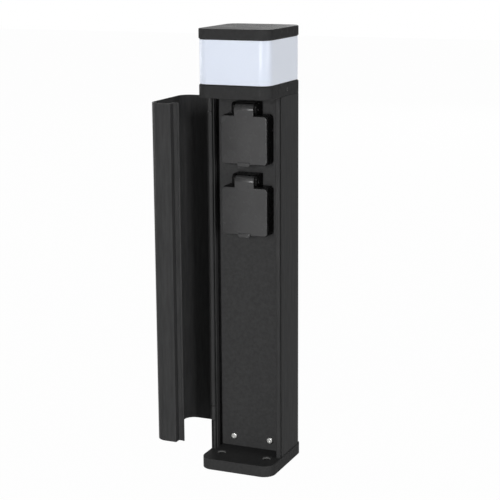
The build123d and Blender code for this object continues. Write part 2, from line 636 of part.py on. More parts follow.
def socket_housing(z):
    """Flange, cup with its keys and floor, round can behind the panel and hinge tower on top."""
    flange = slab(SOCKET_WIDTH, SOCKET_HEIGHT, SOCKET_CORNER, flange_back_y, SOCKET_FRONT_Y, 0, z)
    flange = fillet(flange.edges().group_by(Axis.Y)[0], FLAP_EDGE)
    flange -= slab(
        SOCKET_WIDTH - 2 * SOCKET_WALL, SOCKET_HEIGHT - 2 * SOCKET_WALL, SOCKET_CORNER - SOCKET_WALL,
        flange_back_y + CUT_OVERRUN, SOCKET_FRONT_Y + SOCKET_WALL, 0, z,
    )
    housing = flange + bar_y(can_radius, SOCKET_FRONT_Y + SOCKET_WALL / 2, can_back_y, 0, z)
    for x, up in pillar_places:
        housing += bar_y(FIXING_PILLAR, SOCKET_FRONT_Y + SOCKET_WALL / 2, flange_back_y, x, z + up)
    axis_z = z + TOWER_AXIS_UP
    top_z = z + TOWER_TOP
    base_z = z + SOCKET_HEIGHT / 2 - SOCKET_WALL / 2
    ear = side_rect(axis_y - TOWER_EAR_FRONT, flange_back_y, axis_z, top_z)
    ear = fillet(ear.vertices().group_by(Axis.X)[0].group_by(Axis.Y)[-1], TOWER_EAR_ROUND)
    ear += side_rect(axis_y, flange_back_y, base_z, axis_z) + Pos(axis_y, axis_z) * Circle(TOWER_EAR_FRONT)
    cheek_x = NECK_HALF + KNUCKLE_GAP
    earth_half = EARTH_SLOT_WIDTH / 2
    for side in (-1, 1):
        housing += side_prism(ear, *sorted((side * cheek_x, side * TOWER_HALF)))
    housing += block(-TOWER_HALF, TOWER_HALF, flange_back_y - TOWER_BACK_WALL, flange_back_y, base_z, top_z)
    housing += block(-TOWER_HALF, TOWER_HALF, TOWER_HOOD_FRONT_Y, flange_back_y, top_z - TOWER_HOOD, top_z)
    housing -= bar_x(PIN_RADIUS + SEAT_GAP, -POST_WIDTH, POST_WIDTH, axis_y, axis_z)
    housing -= bar_y(CUP_RADIUS, SOCKET_FRONT_Y - CUT_OVERRUN, cup_floor_y, 0, z)
    housing -= bar_y(CUP_RADIUS, cup_floor_y + CUP_FLOOR, can_back_y + CUT_OVERRUN, 0, z)
    for side in (-1, 1):
        key = sorted((side * (CUP_RADIUS - KEY_DEPTH), side * (CUP_RADIUS + CAN_WALL / 2)))
        key_z = (z - KEY_WIDTH / 2, z + KEY_WIDTH / 2)
        housing += block(*key, SOCKET_FRONT_Y + SOCKET_WALL, cup_floor_y + CUP_FLOOR / 2, *key_z)
        housing -= bar_y(PIN_HOLE_RADIUS, cup_floor_y - CUT_OVERRUN, rotor_y, side * PIN_HOLE_PITCH / 2, z)
        slot = sorted((z + side * (clip_radius - CLIP_REACH), z + side * (CUP_RADIUS + CUT_OVERRUN / 2)))
        housing -= block(-earth_half, earth_half, cup_floor_y - CUT_OVERRUN, rotor_y, *slot)
    housing -= bar_y(M3_SHANK + FREE_GAP, cup_floor_y - CUT_OVERRUN, rotor_y, 0, z)
    front_y = SOCKET_FRONT_Y - CUT_OVERRUN
    for x, up in pillar_places:
        housing -= bar_y(M3_SHANK + FREE_GAP, front_y, flange_back_y + CUT_OVERRUN, x, z + up)
        housing -= bar_y(M3_HEAD + FREE_GAP, front_y, fixing_seat_y, x, z + up)
    return housing


def flange_gasket(z):
    """Flat rubber gasket between the flange and the panel."""
    gasket = slab(
        SOCKET_WIDTH - 2 * GASKET_INSET, SOCKET_HEIGHT - 2 * GASKET_INSET, SOCKET_CORNER - GASKET_INSET,
        PANEL_FRONT_Y, flange_back_y, 0, z,
    )
    cut = (flange_back_y - CUT_OVERRUN, PANEL_FRONT_Y + CUT_OVERRUN)
    gasket -= bar_y(can_radius + CAN_CLEARANCE, *cut, 0, z)
    for x, up in pillar_places:
        gasket -= bar_y(M3_SHANK + FREE_GAP, *cut, x, z + up)
    return gasket


def flap(z):
    """Spring flap: a shallow tray with a neck that rolls back over the pin and a thumb lip."""
    tray = slab(FLAP_WIDTH, FLAP_HEIGHT, FLAP_CORNER, flap_back_y, FLAP_FRONT_Y, 0, z)
    tray = fillet(tray.edges().group_by(Axis.Y)[0], FLAP_EDGE)
    tray -= slab(
        FLAP_WIDTH - 2 * FLAP_WALL, FLAP_HEIGHT - 2 * FLAP_WALL, FLAP_CORNER - FLAP_WALL,
        flap_back_y + CUT_OVERRUN, flap_inner_y, 0, z,
    )
    axis_z = z + TOWER_AXIS_UP
    top_z = z + FLAP_HEIGHT / 2
    neck_plate = side_rect(FLAP_FRONT_Y, flap_inner_y, top_z - FLAP_WALL, axis_z)
    ring = Circle(roll_radius) - Circle(roll_radius - FLAP_WALL)
    end_angle = math.radians(180 - NECK_ROLL_ANGLE)
    reach = 2 * roll_radius
    end_point = (reach * math.cos(end_angle), reach * math.sin(end_angle))
    wedge = Polygon((0, 0), (-reach, 0), (-reach, reach), (0, reach), end_point, align=None)
    roll = Pos(axis_y, axis_z) * (ring & wedge)
    neck = side_prism(neck_plate + roll, -NECK_HALF, NECK_HALF)
    cheek = Pos(axis_y, axis_z) * Circle(NECK_CHEEK_RADIUS)
    half = NECK_CHEEK_RADIUS / 2
    cheek += side_rect(flap_inner_y - FLAP_WALL / 2, axis_y, axis_z - half, axis_z + half)
    for side in (-1, 1):
        neck += side_prism(cheek, *sorted((side * (NECK_HALF - NECK_CHEEK), side * NECK_HALF)))
    neck -= bar_x(PIN_RADIUS + RUNNING_GAP, -POST_WIDTH, POST_WIDTH, axis_y, axis_z)
    low_z = z - FLAP_HEIGHT / 2
    thumb = Polygon(
        (-THUMB_WIDTH / 2, low_z + FLAP_WALL), (THUMB_WIDTH / 2, low_z + FLAP_WALL),
        (THUMB_WIDTH / 2, low_z), (THUMB_WIDTH / 2 - THUMB_TAPER, low_z - THUMB_DROP),
        (-THUMB_WIDTH / 2 + THUMB_TAPER, low_z - THUMB_DROP), (-THUMB_WIDTH / 2, low_z),
        align=None,
    )
    lip = extrude(face_plane(0, flap_inner_y, 0) * thumb, FLAP_WALL + THUMB_FORWARD, dir=(0, -1, 0))
    lip = fillet(lip.edges().filter_by(Axis.X).group_by(Axis.Y)[0], THUMB_FORWARD * DRIVE_SHARE)
    return tray + neck + lip


def flap_seal(z):
    """Round rubber seal in the flap, which closes on the cup's rim."""
    seal = bar_y(SEAL_RADIUS, flap_inner_y, flap_back_y, 0, z)
    inner_radius = SEAL_RADIUS - SEAL_WIDTH
    return seal - bar_y(inner_radius, flap_inner_y - CUT_OVERRUN, flap_back_y + CUT_OVERRUN, 0, z)


def flap_spring(z):
    """Torsion spring round the flap's pin, with one leg on the flap and one on the housing."""
    turns = coil(FLAP_COIL_RADIUS, FLAP_WIRE, FLAP_COIL_TURNS, FLAP_COIL_LENGTH)
    ends = FLAP_COIL_LENGTH / 2
    spring = Pos(-ends, axis_y) * Rot(0, 90, 0) * turns
    spring += bar_y(FLAP_WIRE, flap_inner_y + FREE_GAP, axis_y, -ends, -FLAP_COIL_RADIUS)
    back_y = flange_back_y - TOWER_BACK_WALL - SEAT_GAP
    spring += bar_y(FLAP_WIRE, axis_y, back_y, ends, -FLAP_COIL_RADIUS)
    return Pos(0, 0, z + TOWER_AXIS_UP) * spring


def carrier(z):
    """Insulating carrier: boss for the shutter, pocket for its spring, bores for the contacts."""
    body = bar_y(carrier_radius, carrier_y, carrier_back_y, 0, z)
    body -= bar_y(SPRING_POCKET_RADIUS, carrier_y - CUT_OVERRUN, carrier_y + SPRING_POCKET, 0, z)
    body += bar_y(SHUTTER_BOSS, rotor_y - FREE_GAP / 2, carrier_y + SPRING_POCKET + CUT_OVERRUN, 0, z)
    terminal_y = carrier_back_y - CUP_FLOOR
    body -= bar_y(M3_SHANK + SEAT_GAP, rotor_y - CUT_OVERRUN, terminal_y, 0, z)
    slot_half = CLIP_WIDTH / 2 + FREE_GAP
    slot_low = clip_radius - CLIP_THICKNESS / 2 - SEAT_GAP
    slot_y = (carrier_y - CUT_OVERRUN, carrier_y + CONTACT_LENGTH / 2)
    for side in (-1, 1):
        x = side * PIN_HOLE_PITCH / 2
        body -= bar_y(CONTACT_RADIUS + SEAT_GAP, carrier_y - CUT_OVERRUN, carrier_y + CONTACT_LENGTH, x, z)
        body -= bar_y(M3_SHANK + SEAT_GAP, terminal_y, carrier_back_y + CUT_OVERRUN, x, z)
        slot_z = sorted((z + side * slot_low, z + side * (CUP_RADIUS + CUT_OVERRUN)))
        body -= block(-slot_half, slot_half, *slot_y, *slot_z)
    return body


def shutter(z):
    """Safety shutter: a disc on the carrier's boss whose windows stand clear of the pin holes."""
    disc = bar_y(SHUTTER_RADIUS, rotor_y, rotor_y + SHUTTER_THICKNESS, 0, z)
    disc -= bar_y(SHUTTER_BOSS + RUNNING_GAP, rotor_y - CUT_OVERRUN, carrier_y, 0, z)
    for turn in (SHUTTER_TURN, SHUTTER_TURN + 180):
        a = math.radians(turn)
        x, up = PIN_HOLE_PITCH / 2 * math.cos(a), PIN_HOLE_PITCH / 2 * math.sin(a)
        disc -= bar_y(PIN_HOLE_RADIUS + FREE_GAP, rotor_y - CUT_OVERRUN, carrier_y, x, z + up)
    return disc


def pin_contact(x, z):
    """Turned brass sleeve, slotted across its mouth."""
    sleeve = bar_y(CONTACT_RADIUS, carrier_y + FREE_GAP, carrier_y + CONTACT_LENGTH, x, z)
    sleeve -= bar_y(CONTACT_BORE, carrier_y, carrier_y + CONTACT_LENGTH - CUP_FLOOR, x, z)
    half = CLIP_THICKNESS / 2
    slot_z = (z - CONTACT_RADIUS, z + CONTACT_RADIUS)
    return sleeve - block(x - half, x + half, carrier_y, carrier_y + CONTACT_LENGTH / 2, *slot_z)


def earth_clip(z, side):
    """Sprung earth strip at the top or bottom of the cup."""
    r = clip_radius
    bow = Polyline(
        (carrier_y + CONTACT_LENGTH / 2 - SEAT_GAP, z + side * r),
        (cup_floor_y - CLIP_REACH, z + side * r),
        ((SOCKET_FRONT_Y + cup_floor_y) / 2, z + side * (r - CLIP_REACH)),
        (SOCKET_FRONT_Y + CUP_DEPTH / 4, z + side * r),
    )
    return side_prism(trace(bow, CLIP_THICKNESS), -CLIP_WIDTH / 2, CLIP_WIDTH / 2)


for name, z in socket_heights.items():
    axis_z = z + TOWER_AXIS_UP
    write(f"{name}_socket_housing", socket_housing(z))
    write(f"{name}_flange_gasket", flange_gasket(z))
    write(f"{name}_flap", flap(z))
    write(f"{name}_flap_seal", flap_seal(z))
    write(f"{name}_flap_pin", bar_x(PIN_RADIUS, -TOWER_HALF, TOWER_HALF, axis_y, axis_z))
    write(f"{name}_flap_spring", flap_spring(z))
    write(f"{name}_contact_carrier", carrier(z))
    write(f"{name}_shutter", shutter(z))
    coil_y = carrier_y + SPRING_POCKET - SEAT_GAP
    shutter_coil = coil(SHUTTER_COIL_RADIUS, SHUTTER_WIRE, SHUTTER_COIL_TURNS, SHUTTER_COIL_LENGTH)
    write(f"{name}_shutter_spring", Pos(0, coil_y - SHUTTER_WIRE, z) * faces_front * shutter_coil)
    write(f"{name}_pin_contacts", group([pin_contact(x, z) for x in pin_places]))
    write(f"{name}_earth_clips", group([earth_clip(z, side) for side in (-1, 1)]))
    centre_length = carrier_back_y - CUP_FLOOR - cup_floor_y - FREE_GAP
    write(f"{name}_centre_screw", Pos(0, cup_floor_y, z) * faces_front * m3_screw(centre_length))
    write(f"{name}_fixing_screws", group([
        Pos(x, fixing_seat_y, z + up) * faces_front * m3_screw(panel_back_y - fixing_seat_y)
        for x, up in pillar_places
    ]))
    write(f"{name}_terminal_screws", group([
        Pos(x, carrier_back_y, z) * faces_back * m3_screw(CUP_FLOOR - FREE_GAP) for x in pin_places
    ]))

# Lamp head: adapter on the column, collar, diffuser between two gaskets, and cap
adapter_half = inner_half - ADAPTER_CLEARANCE
adapter_y0 = COLLAR_DIVIDER_Y + HEAD_WALL + ADAPTER_CLEARANCE
adapter_y1 = half_depth - HEAD_WALL - ADAPTER_CLEARANCE
cavity_half = half_width - HEAD_WALL
cavity_corner = POST_CORNER - HEAD_WALL
deck_z = collar_top - COLLAR_DECK
adapter_width = 2 * (cavity_half - ADAPTER_CLEARANCE)
adapter_corner = cavity_corner - ADAPTER_CLEARANCE
adapter_deck_z = column_top + ADAPTER_THICKNESS
adapter = plan_block(adapter_width, 2 * adapter_y1, adapter_corner, column_top, adapter_deck_z)
adapter -= block(-POST_WIDTH, POST_WIDTH, -POST_DEPTH, adapter_y0, 0, post_top)
pad_x = (adapter_width / 2 - ADAPTER_PAD, adapter_width / 2)
pad_y = (GRUB_Y - ADAPTER_PAD_WIDTH / 2, GRUB_Y + ADAPTER_PAD_WIDTH / 2)
adapter += block(*pad_x, *pad_y, column_top, deck_z - ADAPTER_CLEARANCE)
for x, y in column_ports:
    adapter -= post(M4_SHANK + FREE_GAP, column_top - CUT_OVERRUN, post_top, x, y)
adapter -= post(WIRE_HOLE, column_top - CUT_OVERRUN, post_top, 0, (adapter_y0 + adapter_y1) / 2)
grub_z = column_top + GRUB_RISE
grub_x = half_width - FREE_GAP
adapter -= bar_x(GRUB_RADIUS + SEAT_GAP, grub_x - GRUB_LENGTH, half_width, GRUB_Y, grub_z)
hook_y1 = PANEL_FRONT_Y - SEAT_GAP
hook_y = (hook_y1 - PANEL_HOOK_THICKNESS, hook_y1)
adapter += block(-adapter_half, adapter_half, *hook_y, column_top - PANEL_HOOK_DROP, column_top)
write("head_adapter", adapter)
head_screws = [Pos(x, y, adapter_deck_z) * m4_screw(PORT_SCREW_LENGTH) for x, y in column_ports]
write("adapter_screws", group(head_screws))

collar = plan_block(POST_WIDTH, POST_DEPTH, POST_CORNER, column_top, collar_top)
cavity_depth = POST_DEPTH - 2 * HEAD_WALL
cavity = plan_block(2 * cavity_half, cavity_depth, cavity_corner, column_top - CUT_OVERRUN, deck_z)
collar -= cavity - block(-POST_WIDTH, POST_WIDTH, -POST_DEPTH, COLLAR_DIVIDER_Y + HEAD_WALL, 0, post_top)
front_pocket = plan_block(2 * cavity_half, cavity_depth, cavity_corner, pin_socket_top, post_top)
collar -= front_pocket & block(-POST_WIDTH, POST_WIDTH, -POST_DEPTH, COLLAR_DIVIDER_Y, 0, post_top)
spigot_outer = half_width - DIFFUSER_INSET - DIFFUSER_WALL - FREE_GAP
spigot_outer_y = half_depth - DIFFUSER_INSET - DIFFUSER_WALL - FREE_GAP
spigot_corner = POST_CORNER - DIFFUSER_INSET - DIFFUSER_WALL - FREE_GAP


def spigot_ring(z0, z1):
    """Rim that the diffuser fits over."""
    ring = plan_block(2 * spigot_outer, 2 * spigot_outer_y, spigot_corner, z0, z1)
    inner_x = spigot_outer - SPIGOT_WALL
    inner_y = spigot_outer_y - SPIGOT_WALL
    inner_corner = spigot_corner - SPIGOT_WALL
    return ring - plan_block(2 * inner_x, 2 * inner_y, inner_corner, z0 - CUT_OVERRUN, z1 + CUT_OVERRUN)


collar += spigot_ring(collar_top, collar_top + SPIGOT_HEIGHT) & block(
    -POST_WIDTH, POST_WIDTH, COLLAR_DIVIDER_Y, POST_DEPTH, 0, post_top
)
collar -= post(PIN_RADIUS + SEAT_GAP, column_top - CUT_OVERRUN, pin_socket_top, hinge_x, HINGE_Y)
collar -= post(WIRE_HOLE, deck_z - CUT_OVERRUN, post_top, 0, 0)
collar -= bar_x(GRUB_RADIUS + SEAT_GAP, cavity_half - CUT_OVERRUN, half_width + CUT_OVERRUN, GRUB_Y, grub_z)
tie_hole = (M4_SHANK + FREE_GAP, deck_z - CUT_OVERRUN, post_top)
for side in (-1, 1):
    collar -= post(*tie_hole, side * TIE_OFFSET, side * TIE_OFFSET)
write("head_collar", collar)
grub = bar_x(GRUB_RADIUS, grub_x - GRUB_LENGTH, grub_x, GRUB_Y, grub_z)
grub_face = Plane(origin=(grub_x - GRUB_RADIUS, GRUB_Y, grub_z), z_dir=(1, 0, 0))
grub_drive = grub_face * RegularPolygon(GRUB_RADIUS * DRIVE_SHARE, 6)
write("collar_grub_screw", grub - extrude(grub_drive, GRUB_LENGTH))

diffuser_width = POST_WIDTH - 2 * DIFFUSER_INSET
diffuser_depth = POST_DEPTH - 2 * DIFFUSER_INSET
diffuser_corner = POST_CORNER - DIFFUSER_INSET


def head_ring(z0, z1, wall, inset=0.0):
    """Ring with the diffuser's plan."""
    width = diffuser_width - 2 * inset
    depth = diffuser_depth - 2 * inset
    ring = plan_block(width, depth, diffuser_corner - inset, z0, z1)
    inner_width = diffuser_width - 2 * wall
    inner_depth = diffuser_depth - 2 * wall
    cut = (z0 - CUT_OVERRUN, z1 + CUT_OVERRUN)
    return ring - plan_block(inner_width, inner_depth, diffuser_corner - wall, *cut)


diffuser_z0 = collar_top + GASKET_THICKNESS
diffuser_z1 = cap_z - GASKET_THICKNESS
write("lower_diffuser_gasket", head_ring(collar_top, diffuser_z0, DIFFUSER_WALL, FREE_GAP))
write("upper_diffuser_gasket", head_ring(diffuser_z1, cap_z, DIFFUSER_WALL, FREE_GAP))
write("diffuser", head_ring(diffuser_z0, diffuser_z1, DIFFUSER_WALL))

cap = plan_block(POST_WIDTH, POST_DEPTH, POST_CORNER, cap_z, post_top)
cap = fillet(cap.edges().group_by(Axis.Z)[-1], HEAD_EDGE)
cap_hollow_x = spigot_outer - SPIGOT_WALL
cap_hollow_y = spigot_outer_y - SPIGOT_WALL
cap_under_z = post_top - CAP_PLATE
hollow_corner = spigot_corner - SPIGOT_WALL
cap -= plan_block(2 * cap_hollow_x, 2 * cap_hollow_y, hollow_corner, cap_z - CUT_OVERRUN, cap_under_z)
cap += spigot_ring(cap_z - SPIGOT_HEIGHT, cap_z)
core_top = cap_under_z - TIE_BITE
rib_top = post_top - CAP_PLATE / 2
rib_half = CAP_RIB / 2
cap += block(-cap_hollow_x - rib_half, cap_hollow_x + rib_half, -rib_half, rib_half, core_top, rib_top)
cap += block(-rib_half, rib_half, -cap_hollow_y - rib_half, cap_hollow_y + rib_half, core_top, rib_top)
for side in (-1, 1):
    cap += post(TIE_BOSS, core_top, rib_top, side * TIE_OFFSET, side * TIE_OFFSET)
tie_cut = (core_top - CUT_OVERRUN, cap_under_z)
for side in (-1, 1):
    cap -= post(M4_SHANK + SEAT_GAP, *tie_cut, side * TIE_OFFSET, side * TIE_OFFSET)
write("top_cap", cap)

# Lamp inside the head: square heat-sink core, a board on each face and two tie screws through the core
core_plan = RectangleRounded(CORE_SIZE, CORE_SIZE, CORE_CORNER)
core_plan -= RectangleRounded(CORE_SIZE - 2 * CORE_WALL, CORE_SIZE - 2 * CORE_WALL, CORE_CORNER)
for side in (-1, 1):
    port = Pos(side * TIE_OFFSET, side * TIE_OFFSET) * Circle(TIE_BOSS)
    core_plan += port & RectangleRounded(CORE_SIZE, CORE_SIZE, CORE_CORNER)
for side in (-1, 1):
    core_plan -= Pos(side * TIE_OFFSET, side * TIE_OFFSET) * Circle(M4_SHANK + FREE_GAP)
write("lamp_core", Pos(0, 0, collar_top) * extrude(core_plan, core_top - collar_top))
ties = [
    Pos(side * TIE_OFFSET, side * TIE_OFFSET, deck_z) * Rot(180, 0, 0)
    * m4_screw(cap_under_z - deck_z - FREE_GAP)
    for side in (-1, 1)
]
write("tie_screws", group(ties))
board_z0 = collar_top + SPIGOT_HEIGHT + CUT_OVERRUN
board_z1 = core_top - BOARD_MARGIN
led_y = -CORE_SIZE / 2 - BOARD_THICKNESS
board = block(-BOARD_WIDTH / 2, BOARD_WIDTH / 2, led_y, -CORE_SIZE / 2, board_z0, board_z1)
write("led_boards", group([Rot(0, 0, turn) * board for turn in (0, 90, 180, 270)]))
led_pitch = (board_z1 - board_z0) / LED_ROWS
led_levels = [board_z0 + (row + 0.5) * led_pitch for row in range(LED_ROWS)]
led = Pos(0, led_y - LED_THICKNESS / 2, 0) * Box(LED_WIDTH, LED_THICKNESS, LED_HEIGHT)
leds = [
    Rot(0, 0, turn) * Pos(x, 0, level) * led
    for turn in (0, 90, 180, 270)
    for x in (-BOARD_WIDTH / 4, BOARD_WIDTH / 4)
    for level in led_levels
]
write("led_chips", group(leds))
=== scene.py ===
import json
import math

import bpy
from mathutils import Matrix, Vector


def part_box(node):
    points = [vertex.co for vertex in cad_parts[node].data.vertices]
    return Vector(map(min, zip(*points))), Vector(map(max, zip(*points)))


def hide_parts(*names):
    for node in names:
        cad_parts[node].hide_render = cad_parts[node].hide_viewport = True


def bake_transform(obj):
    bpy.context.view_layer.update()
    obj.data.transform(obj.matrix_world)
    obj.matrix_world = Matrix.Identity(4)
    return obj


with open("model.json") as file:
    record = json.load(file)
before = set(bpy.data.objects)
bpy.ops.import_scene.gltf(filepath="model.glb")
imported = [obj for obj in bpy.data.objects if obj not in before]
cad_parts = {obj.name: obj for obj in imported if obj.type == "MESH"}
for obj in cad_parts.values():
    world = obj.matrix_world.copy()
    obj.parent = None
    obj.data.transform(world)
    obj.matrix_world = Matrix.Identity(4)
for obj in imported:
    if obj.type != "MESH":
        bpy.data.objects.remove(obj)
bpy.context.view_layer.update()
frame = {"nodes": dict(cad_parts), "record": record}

nodes = frame["nodes"]
record = frame["record"]
scene = bpy.context.scene
scene.view_settings.view_transform = "Standard"

# Camera, fitted to the photograph with no shift: radians, metres, and pixels of the square frame
AZIMUTH, PITCH, ROLL = 0.4053, 0.2186, -0.0065
OFFSET_RIGHT, OFFSET_UP, OFFSET_AHEAD = 0.0020184, -0.2258153, 1.5549482
FOCAL_PX, FRAME_PX = 1437.6986, 500.0
SENSOR_MM = 36.0
CLIP_START = 0.05

ahead = Vector((-math.sin(AZIMUTH) * math.cos(PITCH), math.cos(AZIMUTH) * math.cos(PITCH), -math.sin(PITCH)))
level_right = Vector((math.cos(AZIMUTH), math.sin(AZIMUTH), 0))
level_up = level_right.cross(ahead)
right = math.cos(ROLL) * level_right + math.sin(ROLL) * level_up
up = -math.sin(ROLL) * level_right + math.cos(ROLL) * level_up
place = -(right * OFFSET_RIGHT + up * OFFSET_UP + ahead * OFFSET_AHEAD)
camera = bpy.data.objects.new("camera", bpy.data.cameras.new("camera"))
scene.collection.objects.link(camera)
turn = Matrix((right, up, -ahead)).transposed()
camera.matrix_world = Matrix.Translation(place) @ turn.to_4x4()
camera.data.sensor_width = SENSOR_MM
camera.data.lens = FOCAL_PX / FRAME_PX * SENSOR_MM
camera.data.clip_start = CLIP_START
scene.camera = camera


# Tools for node trees: a noise lies mostly between these two values, and its scale is in cells a metre
NOISE_LOW, NOISE_HIGH = 0.3, 0.7
EVEN = (1, 1, 1)


def shader(name):
    """A node material with only its output and a Principled shader."""
    material = bpy.data.materials.new(name)
    material.use_nodes = True
    tree = material.node_tree
    tree.nodes.clear()
    output = tree.nodes.new("ShaderNodeOutputMaterial")
    bsdf = tree.nodes.new("ShaderNodeBsdfPrincipled")
    tree.links.new(bsdf.outputs["BSDF"], output.inputs["Surface"])
    return material, tree, bsdf


def calc(tree, operation, *values):
    """The result of one operation on numbers and other nodes' values."""
    node = tree.nodes.new("ShaderNodeMath")
    node.operation = operation
    for socket, value in zip(node.inputs, values):
        if isinstance(value, (int, float)):
            socket.default_value = value
        else:
            tree.links.new(value, socket)
    return node.outputs["Value"]


def mixed(tree, share, plain, other):
    """A plain shader mixed with that share of another one."""
    node = tree.nodes.new("ShaderNodeMixShader")
    for socket, value in zip(node.inputs, (share, plain, other)):
        tree.links.new(value, socket)
    return node.outputs["Shader"]


def noise(tree, scale, detail=2.0, stretch=EVEN, rough=0.5):
    """Noise over the frame's own coordinates."""
    coord = tree.nodes.new("ShaderNodeTexCoord")
    mapping = tree.nodes.new("ShaderNodeMapping")
    mapping.inputs["Scale"].default_value = stretch
    texture = tree.nodes.new("ShaderNodeTexNoise")
    texture.inputs["Scale"].default_value = scale
    texture.inputs["Detail"].default_value = detail
    texture.inputs["Roughness"].default_value = rough
    tree.links.new(coord.outputs["Object"], mapping.inputs["Vector"])
    tree.links.new(mapping.outputs["Vector"], texture.inputs["Vector"])
    return texture.outputs["Fac"]


def ranged(tree, value, low, high):
    """The middle span of a noise, mapped to a new range."""
    node = tree.nodes.new("ShaderNodeMapRange")
    node.inputs["From Min"].default_value = NOISE_LOW
    node.inputs["From Max"].default_value = NOISE_HIGH
    node.inputs["To Min"].default_value = low
    node.inputs["To Max"].default_value = high
    tree.links.new(value, node.inputs["Value"])
    return node.outputs["Result"]


def tinted(tree, value, dark, light):
    """The middle span of a noise, as a colour between two tones."""
    ramp = tree.nodes.new("ShaderNodeValToRGB")
    stops = ramp.color_ramp.elements
    for stop, position, tone in zip(stops, (NOISE_LOW, NOISE_HIGH), (dark, light)):
        stop.position = position
        stop.color = (*tone, 1)
    tree.links.new(value, ramp.inputs["Fac"])
    return ramp.outputs["Color"]


def bumped(tree, bsdf, *layers):
    """Bump layers of (height, strength, depth in metres), one on another."""
    last = None
    for height, strength, depth in layers:
        node = tree.nodes.new("ShaderNodeBump")
        node.inputs["Strength"].default_value = strength
        node.inputs["Distance"].default_value = depth
        tree.links.new(height, node.inputs["Height"])
        if last is not None:
            tree.links.new(last, node.inputs["Normal"])
        last = node.outputs["Normal"]
    tree.links.new(last, bsdf.inputs["Normal"])


# Powder coats: depths in metres; a small stretch draws the noise out along that axis
COAT_PATCHES, COAT_WEAR, COAT_LINES = 300.0, 60.0, 420.0
FINE_GRAIN_DEPTH, PANEL_GRAIN_DEPTH, FOOT_GRAIN_DEPTH = 0.00003, 0.00006, 0.00007
LINE_DEPTH = 0.00004
GRAIN_STRENGTH, LINE_STRENGTH = 0.12, 0.3
DRAWN_LINES, DRAWN_PATCHES = (1, 1, 0.004), (1, 1, 0.12)
MACHINED_LINES = (0.01, 0.01, 2)


def coat(name, dark, light, rough=(0.13, 0.18), grain=1400.0, depth=FINE_GRAIN_DEPTH,
         lines=None, patches=EVEN, specular=0.008):
    """Fine textured powder coat, with faint draw or machining lines where their stretch is given."""
    material, tree, bsdf = shader(name)
    tone = noise(tree, COAT_PATCHES, detail=4.0, stretch=patches, rough=0.6)
    wear = noise(tree, COAT_WEAR, detail=3.0)
    tree.links.new(tinted(tree, tone, dark, light), bsdf.inputs["Base Color"])
    tree.links.new(ranged(tree, wear, *rough), bsdf.inputs["Roughness"])
    bsdf.inputs["Specular IOR Level"].default_value = specular
    layers = [(noise(tree, grain, detail=3.0), GRAIN_STRENGTH, depth)]
    if lines:
        layers.append((noise(tree, COAT_LINES, stretch=lines), LINE_STRENGTH, LINE_DEPTH))
    bumped(tree, bsdf, *layers)
    return material


# Rims of the anchor holes: how far the painted highlight reaches beyond the hole and below the foot's top
RIM_WIDTH, RIM_DEPTH = 0.0009, 0.0017
# Painted highlight: a lighter tone for the countersinks' lit walls
RIM_HIGHLIGHT_TONE, RIM_ROUGH = (0.21, 0.21, 0.205, 1), 0.5
MM = 0.001


def rim_highlights(material):
    """A lighter tone with its own roughness in the countersinks of the anchor holes: a painted highlight for
    their lit far walls.
    """
    tree = material.node_tree
    bsdf = next(node for node in tree.nodes if node.type == "BSDF_PRINCIPLED")
    anchors = next(mount for mount in record["mounts"] if mount["name"] == "ground_anchors")
    sizes = anchors["dims"]
    coord = tree.nodes.new("ShaderNodeTexCoord").outputs["Object"]
    spot = tree.nodes.new("ShaderNodeSeparateXYZ")
    tree.links.new(coord, spot.inputs["Vector"])

    def aside(axis, middle, spacing):
        """How far a spot lies from the nearer row of holes, squared."""
        from_middle = calc(tree, "ABSOLUTE", calc(tree, "SUBTRACT", spot.outputs[axis], middle))
        from_row = calc(tree, "SUBTRACT", from_middle, spacing * MM / 2)
        return calc(tree, "MULTIPLY", from_row, from_row)

    across = aside("X", anchors["pos_m"][0], sizes["spacing_x_mm"])
    along = aside("Y", anchors["pos_m"][1], sizes["spacing_y_mm"])
    away = calc(tree, "SQRT", calc(tree, "ADD", across, along))
    near = calc(tree, "LESS_THAN", away, sizes["hole_r_mm"] * MM + RIM_WIDTH)
    high = calc(tree, "GREATER_THAN", spot.outputs["Z"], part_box("foot_plate")[1][2] - RIM_DEPTH)
    # Painted highlight: the lighter tone goes all round each countersink, below the foot's top
    highlighted = calc(tree, "MULTIPLY", near, high)
    for name, kind, rim_value in (("Base Color", "RGBA", RIM_HIGHLIGHT_TONE), ("Roughness", "FLOAT", RIM_ROUGH)):
        mix = tree.nodes.new("ShaderNodeMix")
        mix.data_type = kind
        coated, rim_input = [socket for socket in mix.inputs if socket.enabled and socket.name in "AB"]
        result = next(socket for socket in mix.outputs if socket.enabled)
        tree.links.new(highlighted, mix.inputs["Factor"])
        tree.links.new(bsdf.inputs[name].links[0].from_socket, coated)
        rim_input.default_value = rim_value
        tree.links.new(result, bsdf.inputs[name])
    return material


# Moulded plastics
MOULD_PATCHES, MOULD_WEAR, MOULD_GRAIN = 35.0, 90.0, 2200.0
MOULD_STRENGTH, MOULD_DEPTH = 0.3, 0.00003


def plastic(name, dark, light, rough=(0.38, 0.46), specular=0.35):
    """Moulded plastic with a fine spark-eroded grain."""
    material, tree, bsdf = shader(name)
    tone = noise(tree, MOULD_PATCHES, detail=3.0)
    tree.links.new(tinted(tree, tone, dark, light), bsdf.inputs["Base Color"])
    tree.links.new(ranged(tree, noise(tree, MOULD_WEAR), *rough), bsdf.inputs["Roughness"])
    bsdf.inputs["Specular IOR Level"].default_value = specular
    bumped(tree, bsdf, (noise(tree, MOULD_GRAIN), MOULD_STRENGTH, MOULD_DEPTH))
    return material


# Bare metals
METAL_PATCHES, METAL_MARKS = 300.0, 900.0
MARK_STRENGTH, MARK_DEPTH = 0.25, 0.00002
EXTRUDED_MARKS = (1, 1, 0.01)


